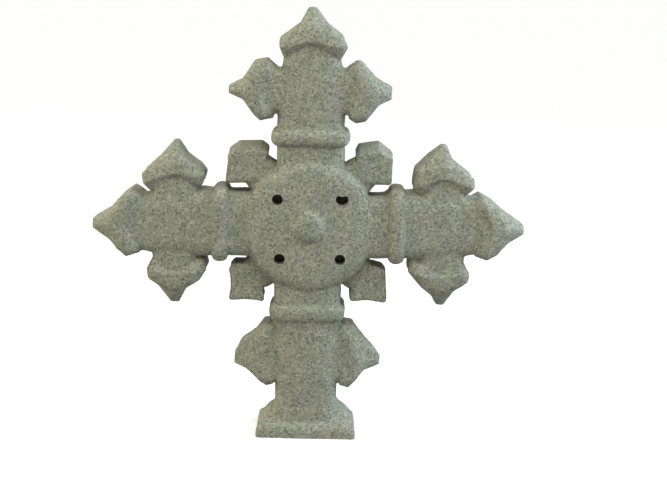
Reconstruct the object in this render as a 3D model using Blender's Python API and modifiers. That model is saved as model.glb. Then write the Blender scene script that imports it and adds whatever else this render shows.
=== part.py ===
# Ringed cross memorial: a gable or grave cross carved from one block of grey granite.
# Metres, +Z up, front face towards -Y. The origin is the middle of the underside.
#
# A low slab foot carries the stem. Stem and arms meet in a round solid hub with a shallow
# boss and four drilled eyes. Each arm wears a roll collar and ends in three lobed buds, a
# square knop stands in each corner beside the hub, and a leaf bud grows from each side of
# the stem. It is one stone, so every shape here is joined into one solid.

import math

import bmesh
import bpy
from mathutils import Matrix, Vector

# Hub: a thick round plate with a boss on its front and on its back
HUB_RADIUS = 0.106
HUB_PROUD = 0.010
HUB_RIM_ROUND = 0.010
HUB_STEPS = 40
BOSS_RADIUS = 0.025
BOSS_HEIGHT = 0.011

# Drilled eyes, marked by hand: a little wider apart and nearer the boss at the top
EYE_RADIUS = 0.0084
EYE_DEPTH = 0.045
EYE_SIDES = 16
EYE_SHIFT = -0.0015
EYE_UPPER_SPREAD = 0.0515
EYE_UPPER_RISE = 0.0425
EYE_LOWER_SPREAD = 0.0480
EYE_LOWER_DROP = 0.0520

# Arms: half width across the face and half depth front to back
ARM_HALF_WIDTH = 0.0540
ARM_HALF_DEPTH = 0.0490
ARM_CORNER = 0.98
COLLAR_GAP = 0.036
COLLAR_LENGTH = 0.026
COLLAR_PROUD = 0.0095

# Heads: distances from the collar to the side buds, and from there to the bud tips
HEAD_GAP = 0.073
BUD_REACH = 0.130
BUD_LENGTH = 0.059
BUD_NECK_HALF_WIDTH = 0.0460
BUD_LOBE_PROUD = 0.0100
SIDE_BUD_LENGTH = 0.054
SIDE_BUD_NECK_HALF_WIDTH = 0.0400
SIDE_BUD_NECK_HALF_DEPTH = 0.0440
BUD_HALF_DEPTH = 0.0530

# Knops: blocks that stand out of the hub's rim on the diagonals, larger in the upper row.
# Their faces are hollowed and their corners left full, as shares of the half sizes.
UPPER_KNOP_HALF_SIZE = 0.0335
UPPER_KNOP_STAND = 0.033
LOWER_KNOP_HALF_SIZE = 0.0310
LOWER_KNOP_STAND = 0.030
KNOP_HALF_DEPTH = 0.0340
KNOP_CROWN = 0.004
KNOP_FACE = 0.90
KNOP_EDGE = 1.03
KNOP_CORNER = 1.22
STUB_HALF_WIDTH = 0.0320
STUB_HALF_DEPTH = 0.0270

# Stem, its leaf buds and the foot
STEM_HALF_WIDTH = 0.0505
STEM_HALF_DEPTH = 0.0480
LEAF_GAP = 0.004
LEAF_HALF_WIDTH = 0.0530
LEAF_HALF_DEPTH = 0.0470
LEAF_LENGTH = 0.048
LEAF_STAND = 0.0655
LEAF_SAG = 0.010
LEAF_BLUNTNESS = 0.16
LEAF_ROOT = 0.8
STEM_BELOW_LEAVES = 0.060
FOOT_LEDGE_SIDE = 0.0275
FOOT_LEDGE_FRONT = 0.0110
FOOT_HEIGHT = 0.021
FOOT_EDGE_ROUND = 0.009
FOOT_FLARE_SIDE = 0.022
FOOT_FLARE_FRONT = 0.006
FOOT_FLARE_HEIGHT = 0.018

# How far a shape runs into the stone that carries it
BITE = 0.030

SUBDIVISIONS = 1
GRANITE_COLOUR = (0.235, 0.245, 0.195, 1.0)

# A bud as rings from its tip back to its neck. Each ring gives its four corners and then
# the four middles of its sides, as (distance back from the tip, half size). Distances are
# shares of the bud's length, half sizes are shares of its half width and half depth. The
# corners hang further back than the sides, which makes the four lobes and their arches.
BUD_RINGS = (
    ((-0.03, 0.11), (-0.03, 0.11)),
    ((0.50, 0.43), (0.36, 0.30)),
    ((0.82, 0.98), (0.60, 0.66)),
    ((1.18, 1.16), (0.80, 0.96)),
    ((1.52, 1.00), (0.94, 0.96)),
    ((1.56, 0.76), (1.00, 0.76)),
)
BUD_NECK_BACK = 1.62

# The roll of a collar: (place in half lengths, share of how far it stands proud)
COLLAR_ROLL = ((-1.20, 0.0), (-0.95, 0.10), (-0.72, 1.05), (0.72, 1.05), (0.95, 0.10), (1.20, 0.0))

# The stem's foot: (height above the slab in flare heights, share of the flare)
FOOT_FLARE = ((1.5, 0.0), (0.8, 0.2), (-0.3, 1.0))

# Places along each arm and down the stem, from the middle of the hub
COLLAR_PLACE = HUB_RADIUS + COLLAR_GAP
SIDE_BUD_PLACE = COLLAR_PLACE + HEAD_GAP
ARM_REACH = SIDE_BUD_PLACE + BUD_REACH
LEAF_DROP = COLLAR_PLACE + COLLAR_LENGTH / 2 + LEAF_GAP + LEAF_HALF_WIDTH
HUB_HEIGHT = LEAF_DROP + LEAF_HALF_WIDTH + STEM_BELOW_LEAVES + FOOT_HEIGHT
HUB_HALF_DEPTH = ARM_HALF_DEPTH + HUB_PROUD


def clear_scene():
    for old in list(bpy.data.objects):
        bpy.data.objects.remove(old)


def collection(name, hidden=False):
    made = bpy.data.collections.new(name)
    bpy.context.scene.collection.children.link(made)
    made.hide_render = hidden
    return made


def file_under(made, group):
    """Moves an object into its collection, as a hidden helper if that one is hidden."""
    for old in list(made.users_collection):
        old.objects.unlink(made)
    group.objects.link(made)
    if group.hide_render:
        made.hide_render = True
        made.display_type = "WIRE"


def add_mesh(name, points, edges, faces, group, matrix):
    mesh = bpy.data.meshes.new(name)
    mesh.from_pydata(points, edges, faces)
    made = bpy.data.objects.new(name, mesh)
    made.matrix_world = matrix
    file_under(made, group)
    return made


def soften(made):
    rounding = made.modifiers.new("Round", "SUBSURF")
    rounding.levels = SUBDIVISIONS
    rounding.render_levels = SUBDIVISIONS


def ring(corner, side, shift=0.0):
    """Eight points round the axis, corners and middles of the sides in turn.

    corner and side are each (half width, half depth, place along the axis), and shift
    slides the whole ring along its width.
    """
    points = []
    for step in range(8):
        turn = math.radians(45 * step)
        width, depth, along = corner if step % 2 else side
        stretch = math.sqrt(2) if step % 2 else 1.0
        across = shift + width * stretch * math.cos(turn)
        points.append(Vector((across, depth * stretch * math.sin(turn), along)))
    return points


def plain_ring(width, depth, along, corner=ARM_CORNER):
    """A ring across a straight shaft, with its corners drawn in to round it."""
    return ring((width * corner, depth * corner, along), (width, depth, along))


def soft_loft(name, rings, group, matrix):
    """A coarse cage through the rings, closed at both ends and rounded by subdivision."""
    count = len(rings[0])
    points = [point for one in rings for point in one]
    faces = []
    for level in range(len(rings) - 1):
        low, high = level * count, (level + 1) * count
        for step in range(count):
            after = (step + 1) % count
            faces.append((low + step, low + after, high + after, high + step))
    last = (len(rings) - 1) * count
    faces.append(tuple(reversed(range(count))))
    faces.append(tuple(range(last, last + count)))
    soften(add_mesh(name, points, [], faces, group, matrix))


def bud_rings(tip, length, half_width, half_depth, sag=0.0, bluntness=0.0):
    """Rings of one bud from its lobes to its tip, which lies at tip along the axis.

    sag slides the tip sideways, and bluntness fills out what is thinner than the lobes.
    """
    made = []
    for places in reversed(BUD_RINGS):
        corner, side = (
            (half_width * fuller, half_depth * fuller, tip - back * length)
            for back, size in places
            for fuller in [size + bluntness * max(0.0, 1 - size)]
        )
        made.append(ring(corner, side, sag * (1 - places[0][0])))
    return made


def collar_rings(half_width, half_depth):
    """The roll round an arm: a quick rise, a rounded crown and a quick fall."""
    made = []
    for share, rise in COLLAR_ROLL:
        proud = COLLAR_PROUD * rise
        place = COLLAR_PLACE + share * COLLAR_LENGTH / 2
        made.append(plain_ring(half_width + proud, half_depth + proud, place))
    return made


def pointing(direction, height=HUB_HEIGHT):
    """Turns local +Z towards an angle in the cross's plane, 0 up and 90 to the right."""
    turn = Matrix.Rotation(math.radians(direction), 4, "Y")
    return Matrix.Translation((0, 0, height)) @ turn


def add_arm(name, direction, group):
    """Arm from inside the hub to its end bud, with its collar and its two side buds."""
    rings = [plain_ring(ARM_HALF_WIDTH, ARM_HALF_DEPTH, HUB_RADIUS - BITE)]
    rings += collar_rings(ARM_HALF_WIDTH, ARM_HALF_DEPTH)
    rings.append(plain_ring(ARM_HALF_WIDTH, ARM_HALF_DEPTH, SIDE_BUD_PLACE))
    neck_end = ARM_REACH - BUD_NECK_BACK * BUD_LENGTH
    rings.append(plain_ring(BUD_NECK_HALF_WIDTH, ARM_HALF_DEPTH, neck_end))
    lobes = BUD_NECK_HALF_WIDTH + BUD_LOBE_PROUD
    rings += bud_rings(ARM_REACH, BUD_LENGTH, lobes, BUD_HALF_DEPTH)
    soft_loft(name, rings, group, pointing(direction))
    for side, turn in (("a", -90), ("b", 90)):
        outwards = Matrix.Rotation(math.radians(turn), 4, "Y")
        place = pointing(direction) @ Matrix.Translation((0, 0, SIDE_BUD_PLACE)) @ outwards
        add_side_bud(f"{name}_side_bud_{side}", place, group)


def add_side_bud(name, place, group):
    neck_end = BUD_REACH - BUD_NECK_BACK * SIDE_BUD_LENGTH
    rings = []
    for along in (neck_end - BITE, neck_end):
        rings.append(plain_ring(SIDE_BUD_NECK_HALF_WIDTH, SIDE_BUD_NECK_HALF_DEPTH, along))
    lobes = SIDE_BUD_NECK_HALF_WIDTH + BUD_LOBE_PROUD
    rings += bud_rings(BUD_REACH, SIDE_BUD_LENGTH, lobes, BUD_HALF_DEPTH)
    soft_loft(name, rings, group, place)


def add_stem(group):
    """Stem from inside the hub down into the foot, with the collar under the hub."""
    foot_top = HUB_HEIGHT - FOOT_HEIGHT
    rings = [plain_ring(ARM_HALF_WIDTH, ARM_HALF_DEPTH, HUB_RADIUS - BITE)]
    rings += collar_rings(ARM_HALF_WIDTH, ARM_HALF_DEPTH)
    rings.append(plain_ring(STEM_HALF_WIDTH, STEM_HALF_DEPTH, COLLAR_PLACE + COLLAR_LENGTH))
    for rise, spread in FOOT_FLARE:
        width = STEM_HALF_WIDTH + spread * FOOT_FLARE_SIDE
        depth = STEM_HALF_DEPTH + spread * FOOT_FLARE_FRONT
        rings.append(plain_ring(width, depth, foot_top - rise * FOOT_FLARE_HEIGHT))
    soft_loft("stem", rings, group, pointing(180))


def add_leaf(name, direction, group):
    """A bud with no neck that grows straight out of one side of the stem."""
    down = 1 if direction > 0 else -1
    tip = STEM_HALF_WIDTH + LEAF_STAND
    root = plain_ring(
        LEAF_HALF_WIDTH * LEAF_ROOT, LEAF_HALF_DEPTH * LEAF_ROOT, STEM_HALF_WIDTH - BITE
    )
    rings = bud_rings(
        tip, LEAF_LENGTH, LEAF_HALF_WIDTH, LEAF_HALF_DEPTH, down * LEAF_SAG, LEAF_BLUNTNESS
    )
    soft_loft(name, [root] + rings, group, pointing(direction, HUB_HEIGHT - LEAF_DROP))


def add_knop(name, side, level, group):
    """A block with full corners and hollowed faces, on a stub out of the hub's rim."""
    half_size = UPPER_KNOP_HALF_SIZE if level > 0 else LOWER_KNOP_HALF_SIZE
    reach = HUB_RADIUS + (UPPER_KNOP_STAND if level > 0 else LOWER_KNOP_STAND)
    middle = Vector((side, 0, level)).normalized() * reach + Vector((0, 0, HUB_HEIGHT))
    bpy.ops.mesh.primitive_cube_add(size=2.0, location=middle)
    knop = bpy.context.active_object
    knop.name = name
    shape = bmesh.new()
    shape.from_mesh(knop.data)
    bmesh.ops.subdivide_edges(shape, edges=shape.edges, cuts=1, use_grid_fill=True)
    for point in shape.verts:
        on_top = point.co.z > 0.5
        outer = sum(abs(value) > 0.5 for value in point.co)
        point.co *= (KNOP_FACE, KNOP_EDGE, KNOP_CORNER)[outer - 1]
        point.co.x *= half_size
        point.co.y *= KNOP_HALF_DEPTH
        point.co.z *= half_size
        if on_top:
            point.co.z += KNOP_CROWN if outer == 1 else -KNOP_CROWN
    shape.to_mesh(knop.data)
    shape.free()
    file_under(knop, group)
    soften(knop)
    rings = []
    for along in (HUB_RADIUS - BITE, reach):
        rings.append(plain_ring(STUB_HALF_WIDTH, STUB_HALF_DEPTH, along))
    direction = math.degrees(math.atan2(side, level))
    soft_loft(f"{name}_stub", rings, group, pointing(direction))


def add_foot(group):
    """The slab, with its corners and its edges eased."""
    bpy.ops.mesh.primitive_cube_add(size=1.0, location=(0, 0, FOOT_HEIGHT / 2))
    slab = bpy.context.active_object
    slab.name = "foot"
    for corner in slab.data.vertices:
        corner.co.x *= 2 * (STEM_HALF_WIDTH + FOOT_LEDGE_SIDE)
        corner.co.y *= 2 * (STEM_HALF_DEPTH + FOOT_LEDGE_FRONT)
        corner.co.z *= FOOT_HEIGHT
    easing = slab.modifiers.new("Ease", "BEVEL")
    easing.width = FOOT_EDGE_ROUND
    easing.segments = 3
    easing.limit_method = "WEIGHT"
    weights = slab.data.attributes.new("bevel_weight_edge", "FLOAT", "EDGE")
    for edge in slab.data.edges:
        heights = [slab.data.vertices[index].co.z for index in edge.vertices]
        weights.data[edge.index].value = 0.0 if max(heights) < 0 else 1.0
    file_under(slab, group)


def hub_profile():
    """Half outline of the hub, from the front boss round the rim to the back boss."""
    crown = []
    for step in range(4):
        turn = math.radians(90 * step / 3)
        height = HUB_HALF_DEPTH + BOSS_HEIGHT * math.cos(turn)
        crown.append((BOSS_RADIUS * math.sin(turn), height))
    for step in range(4):
        turn = math.radians(90 * step / 3)
        across = HUB_RADIUS - HUB_RIM_ROUND * (1 - math.sin(turn))
        crown.append((across, HUB_HALF_DEPTH - HUB_RIM_ROUND * (1 - math.cos(turn))))
    back = [(across, -along) for across, along in reversed(crown)]
    return crown + back


def add_hub(name, group):
    """The round hub with its bosses, turned about the front-to-back axis."""
    points = [Vector((across, 0.0, along)) for across, along in hub_profile()]
    edges = [(step, step + 1) for step in range(len(points) - 1)]
    facing = Matrix.Translation((0, 0, HUB_HEIGHT)) @ Matrix.Rotation(math.radians(90), 4, "X")
    hub = add_mesh(name, points, edges, [], group, facing)
    turning = hub.modifiers.new("Turn", "SCREW")
    turning.axis = "Z"
    turning.steps = HUB_STEPS
    turning.render_steps = HUB_STEPS
    turning.use_merge_vertices = True
    turning.merge_threshold = 0.0001
    return hub


def add_eye_drills(group):
    """Four blind holes from the front of the hub."""
    for side in (-1, 1):
        for spread, rise, row in (
            (EYE_UPPER_SPREAD, EYE_UPPER_RISE, "upper"),
            (EYE_LOWER_SPREAD, -EYE_LOWER_DROP, "lower"),
        ):
            bpy.ops.mesh.primitive_cylinder_add(
                vertices=EYE_SIDES,
                radius=EYE_RADIUS,
                depth=2 * EYE_DEPTH,
                location=(side * spread + EYE_SHIFT, -HUB_HALF_DEPTH, HUB_HEIGHT + rise),
                rotation=(math.radians(90), 0, 0),
            )
            drill = bpy.context.active_object
            drill.name = f"eye_drill_{row}_{'left' if side < 0 else 'right'}"
            file_under(drill, group)


def granite():
    made = bpy.data.materials.new("granite")
    made.use_nodes = True
    shader = made.node_tree.nodes["Principled BSDF"]
    shader.inputs["Base Color"].default_value = GRANITE_COLOUR
    shader.inputs["Roughness"].default_value = 0.85
    shader.inputs["Metallic"].default_value = 0.0
    return made


def add_boolean(stone, name, operation, group):
    cut = stone.modifiers.new(name, "BOOLEAN")
    cut.operation = operation
    cut.operand_type = "COLLECTION"
    cut.collection = group
    cut.solver = "EXACT"


def main():
    clear_scene()
    cross = collection("Ringed cross memorial")
    carving = collection("Carving", hidden=True)
    drills = collection("Drills", hidden=True)
    for name, direction in (("arm_top", 0), ("arm_right", 90), ("arm_left", -90)):
        add_arm(name, direction, carving)
    for name, side, level in (
        ("knop_upper_right", 1, 1),
        ("knop_lower_right", 1, -1),
        ("knop_lower_left", -1, -1),
        ("knop_upper_left", -1, 1),
    ):
        add_knop(name, side, level, carving)
    add_stem(carving)
    add_leaf("leaf_right", 90, carving)
    add_leaf("leaf_left", -90, carving)
    add_foot(carving)
    add_eye_drills(drills)
    stone = add_hub("granite_cross", cross)
    add_boolean(stone, "Join the carving", "UNION", carving)
    add_boolean(stone, "Drill the eyes", "DIFFERENCE", drills)
    stone.data.materials.append(granite())


main()
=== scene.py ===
# Looks of a carved granite cross: drilled hub, collared arms, lobed buds, knops and a slab foot.
# Forms are written in millimetres from the middle of the underside, front face towards -Y, and
# become metres when they are put into the mesh.

import math

import bpy
import numpy as np
from mathutils import Matrix, Vector


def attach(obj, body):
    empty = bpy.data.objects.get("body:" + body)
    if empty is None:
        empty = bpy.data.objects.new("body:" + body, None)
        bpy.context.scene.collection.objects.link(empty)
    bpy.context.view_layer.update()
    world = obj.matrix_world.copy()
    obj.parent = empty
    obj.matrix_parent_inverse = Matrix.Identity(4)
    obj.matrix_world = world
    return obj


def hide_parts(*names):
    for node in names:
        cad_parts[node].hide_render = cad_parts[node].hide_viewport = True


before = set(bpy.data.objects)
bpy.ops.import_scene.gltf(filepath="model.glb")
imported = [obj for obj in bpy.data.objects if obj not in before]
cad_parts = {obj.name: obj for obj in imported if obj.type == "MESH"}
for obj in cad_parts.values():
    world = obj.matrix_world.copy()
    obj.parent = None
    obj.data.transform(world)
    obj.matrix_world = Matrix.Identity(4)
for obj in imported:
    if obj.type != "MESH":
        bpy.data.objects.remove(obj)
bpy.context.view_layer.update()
mm = 0.001

# main sizes, shared by every form below
cross = {
    "hubHeight": 346.0,  # middle of the hub above the underside
    "hubRadius": 106.0,
    "armHalfWidth": 54.0,
    "armHalfDepth": 49.0,
    "collarPlace": 142.0,  # from the middle of the hub
}

skins = []  # every closed form of the stone, as (points, four-sided faces, three-sided faces)


# Reads rows of numbers along their list at an even pace, then blurs them with a bell-shaped mean,
# so that each bend is eased. Both ends stay where they are.
def easedRows(rows, steps, easing):
    rows = np.asarray(rows, float)
    pace = np.linspace(0, len(rows) - 1, steps)
    read = np.stack([np.interp(pace, np.arange(len(rows)), column) for column in rows.T], axis=1)
    spread = easing * (steps - 1) / (len(rows) - 1)  # easing is in steps of the list
    half = int(math.ceil(3 * spread))
    if half < 1:
        return read
    offsets = np.arange(-half, half + 1)
    bell = np.exp(-0.5 * (offsets / spread) ** 2)
    bell /= bell.sum()
    before = 2 * read[0] - read[half:0:-1]
    after = 2 * read[-1] - read[-2:-half - 2:-1]
    padded = np.concatenate([before, read, after])
    return np.stack([np.convolve(column, bell, "valid") for column in padded.T], axis=1)


# Rounded square: the point at each angle where |x|^n + |y|^n = 1, so each side's middle is at 1
def roundedSquare(turn, sharpness):
    across, deep = np.cos(turn), np.sin(turn)
    reach = (np.abs(across) ** sharpness + np.abs(deep) ** sharpness) ** (-1 / sharpness)
    return across * reach, deep * reach


def ringAngles(columns):
    return np.linspace(0, 2 * math.pi, columns, endpoint=False)[None, :]


# Closes a grid of rings with a pole at each end and stores it as one skin of the stone
def addSkin(grid):
    rows, columns = grid.shape[:2]
    points = np.concatenate([grid.reshape(-1, 3), grid[:1].mean(axis=1), grid[-1:].mean(axis=1)])
    start = np.arange(rows - 1)[:, None] * columns
    here = np.arange(columns)[None, :]
    after = (here + 1) % columns
    quads = np.stack(
        [start + here, start + after, start + columns + after, start + columns + here], axis=-1
    ).reshape(-1, 4)
    first, last = rows * columns, rows * columns + 1
    top = (rows - 1) * columns
    here, after = here[0], after[0]
    fans = np.concatenate([
        np.stack([after, here, np.full(columns, first)], axis=1),
        np.stack([top + here, top + after, np.full(columns, last)], axis=1),
    ])
    skins.append((points, quads, fans))


# Turns local x (across), y (depth) and z (outwards) by an angle in the cross's plane, 0 up and
# 90 to the right, round a point of that plane
def placed(grid, direction, middle):
    turn = math.radians(direction)
    across, outwards = grid[..., 0], grid[..., 2]
    x = across * math.cos(turn) + outwards * math.sin(turn) + middle[0]
    z = outwards * math.cos(turn) - across * math.sin(turn) + middle[1]
    return np.stack([x, grid[..., 1], z], axis=-1)


# A shaft along local z: each station is (place, half width, half depth, sharpness, shift across)
def shaft(stations, direction, middle, rows=80, columns=72, easing=0.18):
    place, width, depth, sharpness, shift = easedRows(stations, rows, easing).T[:, :, None]
    across, deep = roundedSquare(ringAngles(columns), sharpness)
    grid = np.stack(np.broadcast_arrays(shift + width * across, depth * deep, place), axis=-1)
    addSkin(placed(grid, direction, middle))


# Buds: square caps that end in a blunt tip, with four lobes at the corners and an arch between
# them on each side. A flank is (distance back from the tip, half size) at the tip, the waist,
# the shoulder, the lobe and the root. Each bud was cut by eye, so each side has a flank of its own.
bud = {
    "hollow": (1.0, 0.78, 0.90, 0.93, 0.90),  # size of a side's middle, as a share of the corners'
    "ridge": (1.0, 1.06, 1.03, 0.96, 0.90),  # the same for the front and the back
    "arch": (1.0, 0.97, 0.94, 0.93, 0.90),  # how far back it lies, as a share of the corners'
    "closing": (1.03, 0.55),  # the last ring, hidden in the neck
    "sharpness": 5.5,
    "easing": 0.05,
    "allowance": (1.02, 0.6),  # what the rounded corners and the softening take: share and mm
}
endBudDepth = ((0, 21), (15, 38), (35, 49), (57, 54), (67, 44.5))
sideBudDepth = ((0, 18), (14, 34.5), (32, 46), (54, 50.5), (63, 42.5))


def flankRows(flank):
    rows = np.array(flank, float)
    share, extra = bud["allowance"]
    rows[:, 1] = rows[:, 1] * share + extra
    closing = rows[-1] * bud["closing"]
    return np.concatenate([rows, closing[None, :]])


# The section at a station is a rounded square. Its corner share is sin(2a)^2 of the angle a. Size
# and place along the axis pass with that share from a side's middle to the corner, and from the
# minus flank to the plus flank with the angle's cosine. tipShift slides the tip across.
def addBud(direction, middle, reach, plus, minus, depth, tipShift=0.0):
    rows, columns = 110, 128
    plusRows, minusRows, depthRows = flankRows(plus), flankRows(minus), flankRows(depth)
    shares = np.array([bud[name] + (bud[name][-1],) for name in ("hollow", "ridge", "arch")]).T
    rowsOf = np.concatenate([plusRows, minusRows, depthRows, shares], axis=1)
    eased = easedRows(rowsOf, rows, bud["easing"]).T[:, :, None]
    plusBack, plusHalf, minusBack, minusHalf, depthBack, depthHalf, hollow, ridge, arch = eased
    turn = ringAngles(columns)
    corner = np.sin(2 * turn) ** 2
    towardsPlus = 0.5 + 0.5 * np.clip(np.cos(turn) * 1.35, -1, 1)
    half = minusHalf + (plusHalf - minusHalf) * towardsPlus
    back = minusBack + (plusBack - minusBack) * towardsPlus
    facing = np.sin(turn) ** 4  # 1 in front and behind, where the depth flank rules
    back = back + (depthBack - back) * facing
    middleSize = hollow + (ridge - hollow) * facing
    size = middleSize + (1 - middleSize) * corner
    place = reach - back * (arch + (1 - arch) * corner)
    across, deep = roundedSquare(turn, bud["sharpness"])
    slide = tipShift * np.clip(1 - back / 60, 0, 1) ** 1.5
    grid = np.stack([half * size * across + slide, depthHalf * size * deep, place], axis=-1)
    addSkin(placed(grid[::-1], direction, middle))


# Arm heads: shaft from inside the hub over the collar to the end bud's neck, with two side buds
collar = {"halfLength": 13.0, "proud": 9.0, "lead": 3.0}
neck = {"halfWidth": 45.5, "halfDepth": 46.5, "place": 262.0}
sideNeck = {"halfWidth": 36.5, "halfDepth": 45.0}


# A roll between two fine grooves: a steep rise from the hub, a rounded crown and a softer slope down
def collarStations(width, shift=0.0, proud=collar["proud"], sharpness=6.0):
    depth, place = cross["armHalfDepth"], cross["collarPlace"]
    half, lead = collar["halfLength"], collar["lead"]
    rises = (
        (-half - lead, 0.0), (-half - 0.5, -0.12), (-half + 1, 0.5), (-0.6 * half, 0.88),
        (-0.1 * half, 1.0), (0.4 * half, 0.92), (half - 2.5, 0.62), (half - 0.5, 0.0),
        (half + 1, -0.08), (half + lead, 0.0),
    )
    return [(place + along, width + proud * rise, depth + proud * rise, sharpness, shift)
            for along, rise in rises]


# plus is towards the right of the top head, below the right one and above the left one
heads = {
    "top": {
        "direction": 0, "reach": 346, "root": 214, "stub": (54, 1.5), "collarHalf": 54, "shift": 0.8,
        "neckShift": 1.0,
        "end": {
            "plus": ((0, 5), (29, 28), (45, 49), (62, 57), (83, 46)),
            "minus": ((0, 5), (26, 19), (51, 51.5), (63, 51), (78, 44.5)),
        },
        "plusBud": {
            "reach": 129,
            "plus": ((0, 10), (23, 20), (43, 45), (58, 48), (70, 41)),
            "minus": ((0, 8), (28, 22), (51, 47.5), (57, 48), (73, 38)),
        },
        "minusBud": {
            "reach": 131,
            "plus": ((0, 6), (23, 18), (41, 47), (62, 51), (81, 36)),
            "minus": ((0, 5), (26, 15), (41, 36), (51, 46.5), (75, 43)),
        },
    },
    "right": {
        "direction": 90, "reach": 346, "root": 215, "stub": (50.5, 1.2), "collarHalf": 52.5, "shift": -1.5,
        "neckShift": -2.0,
        "end": {
            "plus": ((0, 6), (30, 23), (45, 42), (60, 50), (80, 45)), "tipShift": 2.5,
            "minus": ((0, 7), (36, 28), (51, 41), (72, 53), (90, 44)),
        },
        "plusBud": {
            "reach": 128,
            "plus": ((0, 5), (17, 15), (31, 32), (57, 54), (78, 53)),
            "minus": ((0, 6), (30, 23), (43, 44), (54, 46), (75, 35)),
        },
        "minusBud": {
            "reach": 131,
            "plus": ((0, 4), (28, 15), (53, 48), (66, 49), (80, 37)),
            "minus": ((0, 4), (20, 27), (40, 46), (66, 48), (80, 44)),
        },
    },
    "left": {
        "direction": -90, "reach": 348.5, "root": 215, "stub": (52.3, 0), "collarHalf": 52.5, "shift": 0.5,
        "neckShift": -1.5,
        "end": {
            "plus": ((0, 8), (30, 21), (46, 40), (66, 54), (84, 45)), "tipShift": -5.0,
            "minus": ((0, 7), (33, 29), (43, 44), (56, 55.5), (80, 49)),
        },
        "plusBud": {
            "reach": 131,
            "plus": ((0, 4), (28, 18), (42, 40), (52, 48), (70, 44)),
            "minus": ((0, 4), (30, 28), (54, 53.5), (69, 51.5), (82, 41)),
        },
        "minusBud": {
            "reach": 132,
            "plus": ((0, 7), (36, 30), (45, 43.5), (58, 45.5), (74, 38)),
            "minus": ((0, 6), (28, 20), (42, 41), (59, 51), (78, 48)),
        },
    },
}


def addHead(head):
    hub = (0.0, cross["hubHeight"])
    width, depth, shift = head["collarHalf"], cross["armHalfDepth"], head["shift"]
    stubHalf, stubShift = head["stub"]  # the piece between hub and collar
    stations = [(cross["hubRadius"] - 26, stubHalf, depth, 6, stubShift)] * 2
    stations.append((cross["collarPlace"] - collar["halfLength"] - 5, stubHalf, depth, 6, stubShift))
    stations += collarStations(width, shift)
    stations += [
        (cross["collarPlace"] + 30, cross["armHalfWidth"], depth, 5, shift),
        (head["root"] + 10, cross["armHalfWidth"] - 0.5, depth, 5, shift),
        (neck["place"] - 12, neck["halfWidth"] + 3, neck["halfDepth"], 5, head["neckShift"]),
        (neck["place"], neck["halfWidth"], neck["halfDepth"], 5, head["neckShift"]),
        (head["reach"] - 58, neck["halfWidth"] - 1.5, neck["halfDepth"] - 1.5, 5, head["neckShift"]),
    ]
    shaft(stations, head["direction"], hub, rows=170)
    addBud(head["direction"], hub, head["reach"], depth=endBudDepth, **head["end"])
    turn = math.radians(head["direction"])
    root = (head["root"] * math.sin(turn), hub[1] + head["root"] * math.cos(turn))
    for name, side in (("plusBud", 1), ("minusBud", -1)):
        outwards = head["direction"] + 90 * side
        stations = [
            (10, sideNeck["halfWidth"] + 1, sideNeck["halfDepth"], 5, 0),
            (head[name]["reach"] - 76, sideNeck["halfWidth"], sideNeck["halfDepth"], 5, 0),
            (head[name]["reach"] - 52, sideNeck["halfWidth"] - 1, sideNeck["halfDepth"] - 1, 5, 0),
        ]
        shaft(stations, outwards, root, rows=30)
        addBud(outwards, root, depth=sideBudDepth, **head[name])


# Hub: profile of (distance from the middle, height of the face) turned about the front-to-back
# line, the same in front and behind, with a shallow boss in the middle
hub = {
    "halfDepth": 59.0,
    "aside": 1.5,  # its middle stands a little right of the stem's
    "face": (
        (0, 10.5), (12, 10), (18.5, 7.8), (23, 4.2), (25.5, 1.2), (28, 0), (40, 0), (60, 0), (78, -0.3),
        (89, -1.2), (97, -3.8), (102.5, -8.5), (105.3, -15), (106, -26), (106, -59),
    ),
    "easing": 0.22,
    # drilled eyes: (across, up) from the middle, (half width, half height), how far a burr hangs in
    "eyes": (
        ((-50, 44.2), (8.4, 8.4), 0.0),
        ((52.9, 46), (10.0, 8.8), 3.8),
        ((-45.5, -51.3), (8.7, 8.4), 0.0),
        ((51.2, -50.6), (8.3, 8.4), 0.0),
    ),
    "eyeDepth": 45.0,
    "burrWidth": 0.42,  # half width of the burr, in radians round the eye
    "burrDepth": 9.0,  # and how deep it runs into the hole
}


def addHub():
    rows = easedRows(hub["face"], 110, hub["easing"])
    profile = np.concatenate([rows, (rows * (1, -1) - (0, 2 * hub["halfDepth"]))[::-1][1:]])
    radius = np.maximum(profile[:, :1], 0.01)
    height = profile[:, 1:] + hub["halfDepth"]
    turn = ringAngles(160)
    grid = np.stack(
        np.broadcast_arrays(
            hub["aside"] + radius * np.cos(turn), -height, cross["hubHeight"] + radius * np.sin(turn)
        ),
        axis=-1,
    )
    addSkin(grid)


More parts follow.
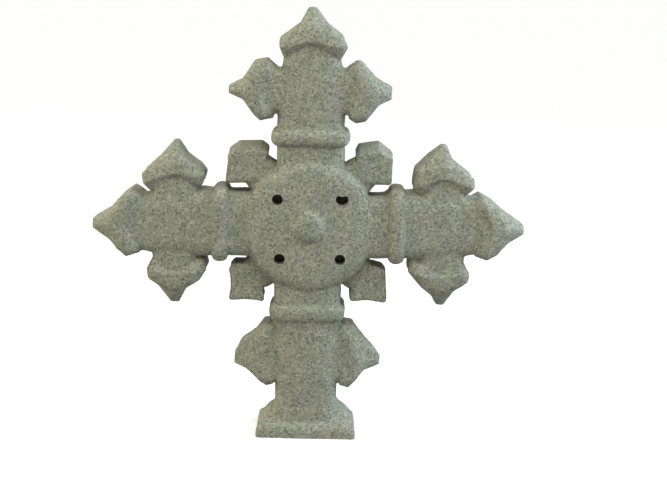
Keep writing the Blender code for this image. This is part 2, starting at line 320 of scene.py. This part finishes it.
# Knops: a block pinched at the middles of its sides, so that the corners stay full. It starts
# from a rounded box, |x|^n + |y|^n + |z|^n = 1 over all directions (longitude and latitude).
knops = {
    "sharpness": 10.0,
    "upperRight": {
        "at": (104, 445), "size": (31, 34, 34.6), "pinch": (0.04, 0.04), "fall": 11,
        "crest": ((-1, -13), (-0.8, -4), (0.2, 3), (1, -17)), "corners": (-0.02, 0.0, -0.03, -0.07),
    },
    "upperLeft": {
        "at": (-99.5, 445.3), "size": (36.3, 34, 34.3), "pinch": (0.10, 0.04), "fall": 11,
        "crest": ((-1, -13), (-0.45, 1), (0.6, 1), (1, -8)), "corners": (-0.05, -0.09, 0.01, -0.08),
    },
    "lowerRight": {
        "at": (98, 252.5), "size": (30.3, 34, 31), "pinch": (0.05, 0.12), "fall": 0,
        "crest": ((-1, 0), (0.3, 3), (0.75, -3), (1, -12)), "corners": (-0.05, 0.0, 0.0, 0.03),
    },
    "lowerLeft": {
        "at": (-98.7, 250.5), "size": (29.7, 34, 31.5), "pinch": (0.14, 0.10), "fall": 0,
        "crest": ((-1, -10), (-0.7, 1), (0.3, 4), (1, 2)), "corners": (-0.02, 0.0, -0.03, 0.0),
    },
}


# Its faces are then drawn in by pinch (left and right sides, other sides) times how far a point
# is from the face's edges. The crest is the upper face's height across from -1 left to 1 right,
# fall is how far that face slopes down to the front, and corners are the shares by which the
# upper right, upper left, lower left and lower right ones stand out.
def addKnop(knop, rows=84, columns=144):
    turn = ringAngles(columns)
    rise = np.linspace(-0.5 * math.pi + 0.01, 0.5 * math.pi - 0.01, rows)[:, None]
    x, y, z = np.broadcast_arrays(
        np.cos(rise) * np.cos(turn), np.cos(rise) * np.sin(turn), np.sin(rise)
    )
    n = knops["sharpness"]
    reach = (np.abs(x) ** n + np.abs(y) ** n + np.abs(z) ** n) ** (-1 / n)
    x, y, z = x * reach, y * reach, z * reach
    sidePinch, pinch = knop["pinch"]
    right, up = (x + 1) / 2, (z + 1) / 2
    shares = (right * up, (1 - right) * up, (1 - right) * (1 - up), right * (1 - up))
    stretch = 1 + sum(gain * share for gain, share in zip(knop["corners"], shares))
    wide, deep, tall = knop["size"]
    newX = wide * x * stretch * (1 + sidePinch * (z ** 2 + 0.5 * y ** 2 - 1))
    newY = deep * y * (1 + pinch * (0.5 * x ** 2 + 0.5 * z ** 2 - 1))
    newZ = tall * z * stretch * (1 + pinch * (x ** 2 + 0.5 * y ** 2 - 1))
    crestAcross, crestHeight = np.array(knop["crest"], float).T
    lift = np.interp(x, crestAcross, crestHeight) - knop["fall"] * (np.clip(-y, -1, 1) + 1) / 2
    newZ = newZ + np.clip(z, 0, 1) ** 2 * lift
    addSkin(np.stack([newX + knop["at"][0], newY, newZ + knop["at"][1]], axis=-1))
    offset = (knop["at"][0], knop["at"][1] - cross["hubHeight"])
    direction = math.degrees(math.atan2(*offset))
    side = -math.copysign(1, offset[0] * offset[1])  # the stub is fuller towards top arm and stem
    stations = [
        (cross["hubRadius"] - 20, 33, 32, 5, 2 * side),
        (cross["hubRadius"] + 14, 28, 31, 5, 2 * side),
        (math.hypot(*offset) - 12, 24, 29.5, 5, side),
    ]
    shaft(stations, direction, (0, cross["hubHeight"]), rows=24)


# Stem down to its flared foot, the two leaf buds and the slab
stem = {
    "halfWidth": 50.5,
    "halfDepth": 48.0,
    "aside": 1.0,
    "leafHeight": 126.0,
    "slab": {"halfWidth": 79.5, "halfDepth": 60.0, "height": 22.5, "below": 12.0},
    # the stem's own foot: (height, wider, deeper), and the flare at its sides, set back from its
    # front and back: (height, half width, half depth)
    "foot": ((60, 0, 0), (30, 0, 0), (21, 0.5, 1.5), (10, 1, 2)),
    "flare": ((58, 46, 30), (46, 53, 31), (40, 62, 33), (31, 70, 37), (24, 75, 44), (10, 76, 52)),
}


def addStem():
    base = cross["hubHeight"]
    width, depth = stem["halfWidth"], stem["halfDepth"]
    slab = stem["slab"]
    stations = [(cross["hubRadius"] - 26, cross["armHalfWidth"], cross["armHalfDepth"], 6, 0)] * 2
    stations += collarStations(cross["armHalfWidth"], 0.0, collar["proud"] - 1.5)
    stations.append((cross["collarPlace"] + 30, width, depth, 4.5, 0))
    for height, wider, deeper in stem["foot"]:
        stations.append((base - height, width + wider, depth + deeper, 4.5, 0))
    shaft(stations, 180, (0, base), rows=200)
    aside = stem["aside"]  # how far the slab stands off to the right, and the flare twice that
    stations = [(base - height, wide, deep, 5, -2 * aside) for height, wide, deep in stem["flare"]]
    shaft(stations, 180, (0, base), rows=60)
    wide, deep, high = slab["halfWidth"], slab["halfDepth"], slab["height"]
    stations = [
        (-slab["below"], wide + 1.5, deep + 0.5, 40, aside),
        (0, wide + 1.5, deep + 0.5, 40, aside),
        (high - 9, wide, deep, 30, aside),
        (high - 5.5, wide - 1.5, deep - 1.5, 16, aside),
        (high - 2.5, wide - 4, deep - 5, 12, aside),
        (high, wide - 9, deep - 10, 9, aside),
        (high + 0.5, wide - 16, deep - 16, 9, aside),
    ]
    shaft(stations, 0, (0, 0), rows=60, columns=160, easing=0.3)


leafDepth = ((0, 9), (20, 23), (38, 37), (50, 41), (64, 40))
leaves = {
    "right": {
        "direction": 90, "reach": 120, "tipShift": 6.0, "lift": -8,
        "plus": ((0, 5), (28, 18), (38, 34), (51, 47), (66, 44)),
        "minus": ((0, 7), (11, 21), (37, 44), (47, 57), (66, 58)),
    },
    "left": {
        "direction": -90, "reach": 118, "tipShift": -7.0, "lift": 8,
        "plus": ((0, 9), (10, 30), (34, 40), (49, 57), (66, 58)),
        "minus": ((0, 7), (21, 17), (46, 41), (55, 46), (66, 43)),
    },
}


def addLeaf(leaf):
    middle = (0.0, stem["leafHeight"])
    shape = {name: leaf[name] for name in ("direction", "reach", "tipShift", "plus", "minus")}
    addBud(middle=middle, depth=leafDepth, **shape)
    lift = leaf["lift"]  # the root sits high, close under the collar
    stations = [(10, 50, 39, 5, lift), (leaf["reach"] - 54, 50, 39, 5, lift)]
    shaft(stations, leaf["direction"], middle, rows=20)


def meshFrom(name, parts):
    points, quads, fans, start = [], [], [], 0
    for partPoints, partQuads, partFans in parts:
        points.append(partPoints)
        quads.append(partQuads + start)
        fans.append(partFans + start)
        start += len(partPoints)
    mesh = bpy.data.meshes.new(name)
    faces = np.concatenate(quads).tolist() + np.concatenate(fans).tolist()
    mesh.from_pydata((np.concatenate(points) * mm).tolist(), [], faces)
    made = bpy.data.objects.new(name, mesh)
    bpy.context.scene.collection.objects.link(made)
    return made


def applyModifiers(made):
    graph = bpy.context.evaluated_depsgraph_get()
    finished = bpy.data.meshes.new_from_object(made.evaluated_get(graph))
    made.modifiers.clear()
    old = made.data
    made.data = finished
    bpy.data.meshes.remove(old)


# Smooth random numbers between -1 and 1: a table of random values on a lattice of cells, blended
# with the eased share 3t^2 - 2t^3 along each side of the cell
def latticeNoise(points, cell, seed):
    size = 64
    table = np.random.default_rng(seed).uniform(-1, 1, (size, size, size))
    place = points / cell
    corner = np.floor(place).astype(int)
    share = place - corner
    share = share * share * (3 - 2 * share)
    total = np.zeros(len(points))
    for dx in (0, 1):
        for dy in (0, 1):
            for dz in (0, 1):
                weight = np.abs(1 - dx - share[:, 0]) * np.abs(1 - dy - share[:, 1])
                weight = weight * np.abs(1 - dz - share[:, 2])
                x, y, z = ((corner + (dx, dy, dz)) % size).T
                total += weight * table[x, y, z]
    return total


# How the joined forms become one hand-worked stone
carving = {
    "voxel": 1.5,  # grain of the joined mesh
    "softening": 5,  # smoothing passes, which ease edges and fill inner corners
    "waves": ((34, 0.8, 11), (14, 0.35, 12)),  # (cell, height, seed): unevenness left by the chisel
    "pick": ((5.5, 0.26, 21), (3.6, 0.16, 22)),  # dimples of the picked finish
    "triangles": 178000,  # before the eyes are drilled
    "sharpAngle": 55,  # degrees, above which an edge is shaded sharp
}


def roughen(stone):
    mesh = stone.data
    count = len(mesh.vertices)
    points = np.empty(count * 3)
    normals = np.empty(count * 3)
    mesh.vertices.foreach_get("co", points)
    mesh.vertex_normals.foreach_get("vector", normals)
    points, normals = points.reshape(-1, 3), normals.reshape(-1, 3)
    rise = np.zeros(count)
    for cell, height, seed in carving["waves"] + carving["pick"]:
        rise += height * latticeNoise(points / mm, cell, seed)
    points = points + normals * (rise * mm)[:, None]
    mesh.vertices.foreach_set("co", points.ravel())
    mesh.update()


# Each cutter is a tube from outside the face to the bottom of the hole. Its section is an ellipse,
# opened a little at the mouth, and a burr presses it in at the top with a bell shape round the rim.
def eyeCutters():
    skins.clear()
    depth = np.linspace(-6, hub["eyeDepth"], 26)[:, None]  # below the face of the hub
    turn = ringAngles(56)
    for (across, up), (halfWidth, halfHeight), burr in hub["eyes"]:
        mouth = 0.9 * np.exp(-np.clip(depth, 0, None) / 1.3)
        away = np.angle(np.exp(1j * (turn - math.pi / 2)))
        press = burr * np.exp(-(away / hub["burrWidth"]) ** 2 / 2)
        press = press * np.exp(-np.clip(depth, 0, None) / hub["burrDepth"])
        x = across + (halfWidth + mouth) * np.cos(turn)
        z = cross["hubHeight"] + up + (halfHeight + mouth) * np.sin(turn) - press
        grid = np.stack(np.broadcast_arrays(x, depth - hub["halfDepth"], z), axis=-1)
        addSkin(grid[::-1])
    return meshFrom("eye_cutters", skins)


# A block below the ground plane, larger than the stone, that leaves the foot flat
def underCutter():
    wide, high = 400.0, 60.0
    skins.clear()
    stations = [(-high, wide, wide, 12, 0), (0, wide, wide, 12, 0)]
    shaft(stations, 0, (0, 0), rows=2, easing=0)
    return meshFrom("under_cutter", skins)


def cutAway(stone, cutter):
    cut = stone.modifiers.new("cut", "BOOLEAN")
    cut.operation = "DIFFERENCE"
    cut.solver = "MANIFOLD"
    cut.object = cutter
    applyModifiers(stone)
    bpy.data.objects.remove(cutter)


def carveStone():
    for head in heads.values():
        addHead(head)
    addHub()
    for name in ("upperRight", "upperLeft", "lowerRight", "lowerLeft"):
        addKnop(knops[name])
    addStem()
    for leaf in leaves.values():
        addLeaf(leaf)
    stone = meshFrom("carved_granite_cross", skins)
    print("forms joined:", len(skins), "skins,", len(stone.data.polygons), "faces")
    joining = stone.modifiers.new("join", "REMESH")
    joining.mode = "VOXEL"
    joining.voxel_size = carving["voxel"] * mm
    joining.adaptivity = 0.0
    easing = stone.modifiers.new("soften", "SMOOTH")
    easing.factor = 0.5
    easing.iterations = carving["softening"]
    applyModifiers(stone)
    print("one stone:", len(stone.data.polygons), "faces")
    roughen(stone)
    print("surface picked")
    triangles = 2 * len(stone.data.polygons)
    lighter = stone.modifiers.new("thin", "DECIMATE")
    lighter.ratio = carving["triangles"] / triangles
    applyModifiers(stone)
    print("thinned to", len(stone.data.polygons), "faces")
    cutAway(stone, eyeCutters())
    cutAway(stone, underCutter())
    print("eyes drilled and foot cut flat:", len(stone.data.polygons), "faces")
    stone.data.shade_smooth()
    stone.data.set_sharp_from_angle(angle=math.radians(carving["sharpAngle"]))
    return stone


stone = carveStone()
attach(stone, "root")
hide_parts("granite_cross")


def linear(code):
    # sRGB hex to linear colour
    values = [int(code[place:place + 2], 16) / 255 for place in (1, 3, 5)]
    return [v / 12.92 if v <= 0.04045 else ((v + 0.055) / 1.055) ** 2.4 for v in values] + [1.0]


def addNode(tree, kind, settings=None, inputs=None):
    # one node with its settings, and its inputs as values or as (node, output) links
    node = tree.nodes.new(kind)
    for name, value in (settings or {}).items():
        setattr(node, name, value)
    for name, value in (inputs or {}).items():
        if isinstance(value, tuple) and isinstance(value[0], bpy.types.Node):
            tree.links.new(value[0].outputs[value[1]], node.inputs[name])
        else:
            node.inputs[name].default_value = value
    return node


def setRamp(node, stops, blend="LINEAR"):
    ramp = node.color_ramp
    ramp.interpolation = blend
    while len(ramp.elements) > 1:
        ramp.elements.remove(ramp.elements[-1])
    ramp.elements[0].position, ramp.elements[0].color = stops[0]
    for place, colour in stops[1:]:
        ramp.elements.new(place).color = colour


# Picked granite: grey-green quartz and feldspar with isolated black mica flecks, and every grain
# bruised to a matt, slightly chalky face by the pick
graniteLook = {
    "grain": 3.0,  # mm, width of a grain
    "fineGrain": 1.6,
    "fleck": 3.5,  # mm, room that a mica fleck has to itself
    "warp": 0.8,  # mm, how far the grains' edges wander
    "mottle": 26.0,  # mm, width of the paler and darker patches
    "roughness": 0.88,
    "specular": 0.35,
    "mica": "#64675a",
    "shade": "#747667",
    "quartz": "#8b8e7c",
    "feldspar": "#9fa08e",
    "pale": "#bab8a7",
}


def granite():
    look = graniteLook
    made = bpy.data.materials.new("picked_grey_green_granite")
    made.use_nodes = True
    tree = made.node_tree
    tree.nodes.clear()
    place = addNode(tree, "ShaderNodeTexCoord")
    wander = addNode(tree, "ShaderNodeTexNoise", {}, {
        "Vector": (place, "Object"), "Scale": 1 / (2.2 * look["grain"] * mm), "Detail": 1.0,
    })
    centred = addNode(tree, "ShaderNodeVectorMath", {"operation": "SUBTRACT"}, {
        0: (wander, "Color"), 1: (0.5, 0.5, 0.5),
    })
    shifted = addNode(tree, "ShaderNodeVectorMath", {"operation": "MULTIPLY_ADD"}, {
        0: (centred, "Vector"), 1: (look["warp"] * 4 * mm,) * 3, 2: (place, "Object"),
    })

    def cells(width):
        found = addNode(tree, "ShaderNodeTexVoronoi", {}, {
            "Vector": (shifted, "Vector"), "Scale": 1 / (width * mm),
        })
        return found, addNode(tree, "ShaderNodeSeparateColor", {}, {"Color": (found, "Color")})

    grains, grainValue = cells(look["grain"])
    fine, fineValue = cells(look["fineGrain"])
    flecks, fleckValue = cells(look["fleck"])
    value = addNode(tree, "ShaderNodeMath", {"operation": "MULTIPLY_ADD"}, {
        0: (fineValue, "Red"), 1: 0.45, 2: -0.1,
    })
    value = addNode(tree, "ShaderNodeMath", {"operation": "MULTIPLY_ADD"}, {
        0: (grainValue, "Red"), 1: 0.65, 2: (value, "Value"),
    })
    colour = addNode(tree, "ShaderNodeValToRGB", {}, {"Fac": (value, "Value")})
    setRamp(colour, (
        (0.0, linear(look["shade"])),
        (0.3, linear(look["quartz"])),
        (0.7, linear(look["feldspar"])),
        (1.0, linear(look["pale"])),
    ))
    # a fleck fills its cell up to a radius of its own, so that flecks rarely touch
    radius = addNode(tree, "ShaderNodeMath", {"operation": "MULTIPLY_ADD"}, {
        0: (fleckValue, "Red"), 1: 0.66, 2: -0.08,
    })
    inside = addNode(tree, "ShaderNodeMath", {"operation": "SUBTRACT"}, {
        0: (radius, "Value"), 1: (flecks, "Distance"),
    })
    fleck = addNode(tree, "ShaderNodeMath", {"operation": "MULTIPLY", "use_clamp": True}, {
        0: (inside, "Value"), 1: 5.0,
    })
    speckled = addNode(tree, "ShaderNodeMix", {"data_type": "RGBA"}, {
        0: (fleck, "Value"), 6: (colour, "Color"), 7: linear(look["mica"]),
    })
    mottle = addNode(tree, "ShaderNodeTexNoise", {}, {
        "Vector": (place, "Object"), "Scale": 1 / (look["mottle"] * mm), "Detail": 2.0,
    })
    tint = addNode(tree, "ShaderNodeValToRGB", {}, {"Fac": (mottle, "Fac")})
    setRamp(tint, ((0.3, (0.93, 0.95, 0.91, 1)), (0.7, (1.05, 1.03, 1.02, 1))))
    tinted = addNode(tree, "ShaderNodeMix", {"data_type": "RGBA", "blend_type": "MULTIPLY"}, {
        0: 1.0, 6: (speckled, 2), 7: (tint, "Color"),
    })
    height = addNode(tree, "ShaderNodeMath", {"operation": "MULTIPLY_ADD"}, {
        0: (fineValue, "Green"), 1: 0.4, 2: (grainValue, "Green"),
    })
    bump = addNode(tree, "ShaderNodeBump", {}, {
        "Strength": 0.35, "Distance": 0.3 * mm, "Height": (height, "Value"),
    })
    shader = addNode(tree, "ShaderNodeBsdfPrincipled", {}, {
        "Base Color": (tinted, 2), "Roughness": look["roughness"], "Normal": (bump, "Normal"),
        "Specular IOR Level": look["specular"],
    })
    addNode(tree, "ShaderNodeOutputMaterial", {}, {"Surface": (shader, "BSDF")})
    return made


stone.data.materials.clear()
stone.data.materials.append(granite())
print("granite made")

view = {"distance": 2.665, "elevation": 10.1, "azimuth": 0.57, "roll": 1.08, "aimHeight": 0.3007,
        "shift": 25.25 / 667, "fieldOfView": 23.04}


def addCamera():
    lens = bpy.data.cameras.new("camera")
    lens.sensor_fit = "HORIZONTAL"
    lens.angle = math.radians(view["fieldOfView"])
    lens.shift_x = view["shift"]
    camera = bpy.data.objects.new("camera", lens)
    bpy.context.scene.collection.objects.link(camera)
    e, a = math.radians(view["elevation"]), math.radians(view["azimuth"])
    back = Vector((math.sin(a) * math.cos(e), -math.cos(a) * math.cos(e), math.sin(e)))
    facing = back.to_track_quat("Z", "Y").to_matrix().to_4x4()
    roll = Matrix.Rotation(math.radians(view["roll"]), 4, "Z")
    place = Matrix.Translation(Vector((0, 0, view["aimHeight"])) + back * view["distance"])
    camera.matrix_world = place @ facing @ roll
    bpy.context.scene.camera = camera


addCamera()


# studio lights: place and aim in metres, size of the panel, watts and colour
lights = {
    "warm_left": ((-2.2, -0.15, 0.9), (0, 0, 0.35), (1.2, 1.6), 20, "#fff0cf"),
    "cool_right": ((2.2, -0.2, 1.3), (0, 0, 0.35), (1.2, 1.6), 54, "#c6dcff"),
    "soft_key": ((0.1, -1.6, 2.3), (0, 0, 0.36), (1.3, 1.3), 19, "#fffdf6"),
}


def areaLight(name, place, aim, size, energy, colour):
    light = bpy.data.lights.new(name, "AREA")
    light.shape = "RECTANGLE"
    light.size, light.size_y = size
    light.energy = energy
    light.color = linear(colour)[:3]
    made = bpy.data.objects.new(name, light)
    made.location = place
    made.rotation_euler = (Vector(aim) - Vector(place)).to_track_quat("-Z", "Y").to_euler()
    bpy.context.scene.collection.objects.link(made)


for name, settings in lights.items():
    areaLight(name, *settings)

floor = {"radius": 60.0, "corners": 96, "colour": "#f4f4f3", "roughness": 0.9, "glow": 0.25}


def addFloor():
    # A wide plain disc that only catches the soft shadow. A faint glow keeps it white far out, and
    # it throws no light back up, so that the undersides stay in shade.
    turn = ringAngles(floor["corners"])[0]
    rim = np.stack([np.cos(turn), np.sin(turn), np.zeros(len(turn))], axis=1) * floor["radius"]
    mesh = bpy.data.meshes.new("studio_floor")
    mesh.from_pydata(rim.tolist(), [], [list(range(floor["corners"]))])
    made = bpy.data.objects.new("studio_floor", mesh)
    bpy.context.scene.collection.objects.link(made)
    paper = bpy.data.materials.new("white_studio_paper")
    paper.use_nodes = True
    shader = paper.node_tree.nodes["Principled BSDF"]
    shader.inputs["Base Color"].default_value = linear(floor["colour"])
    shader.inputs["Roughness"].default_value = floor["roughness"]
    shader.inputs["Emission Color"].default_value = linear("#ffffff")
    shader.inputs["Emission Strength"].default_value = floor["glow"]
    mesh.materials.append(paper)
    made.visible_diffuse = False


addFloor()


def addWorld():
    # a pale sky dome, much dimmer below the horizon
    world = bpy.data.worlds.new("studio")
    world.use_nodes = True
    tree = world.node_tree
    place = addNode(tree, "ShaderNodeTexCoord")
    direction = addNode(tree, "ShaderNodeSeparateXYZ", {}, {"Vector": (place, "Generated")})
    height = addNode(tree, "ShaderNodeMath", {"operation": "MULTIPLY_ADD"}, {
        0: (direction, "Z"), 1: 0.5, 2: 0.5,
    })
    dome = addNode(tree, "ShaderNodeValToRGB", {}, {"Fac": (height, "Value")})
    setRamp(dome, ((0.35, (0.31, 0.31, 0.30, 1)), (0.6, (0.81, 0.81, 0.81, 1))))
    tree.links.new(dome.outputs["Color"], tree.nodes["Background"].inputs["Color"])
    bpy.context.scene.world = world
    bpy.context.scene.view_settings.view_transform = "Standard"


addWorld()
print("camera, lights and floor set")
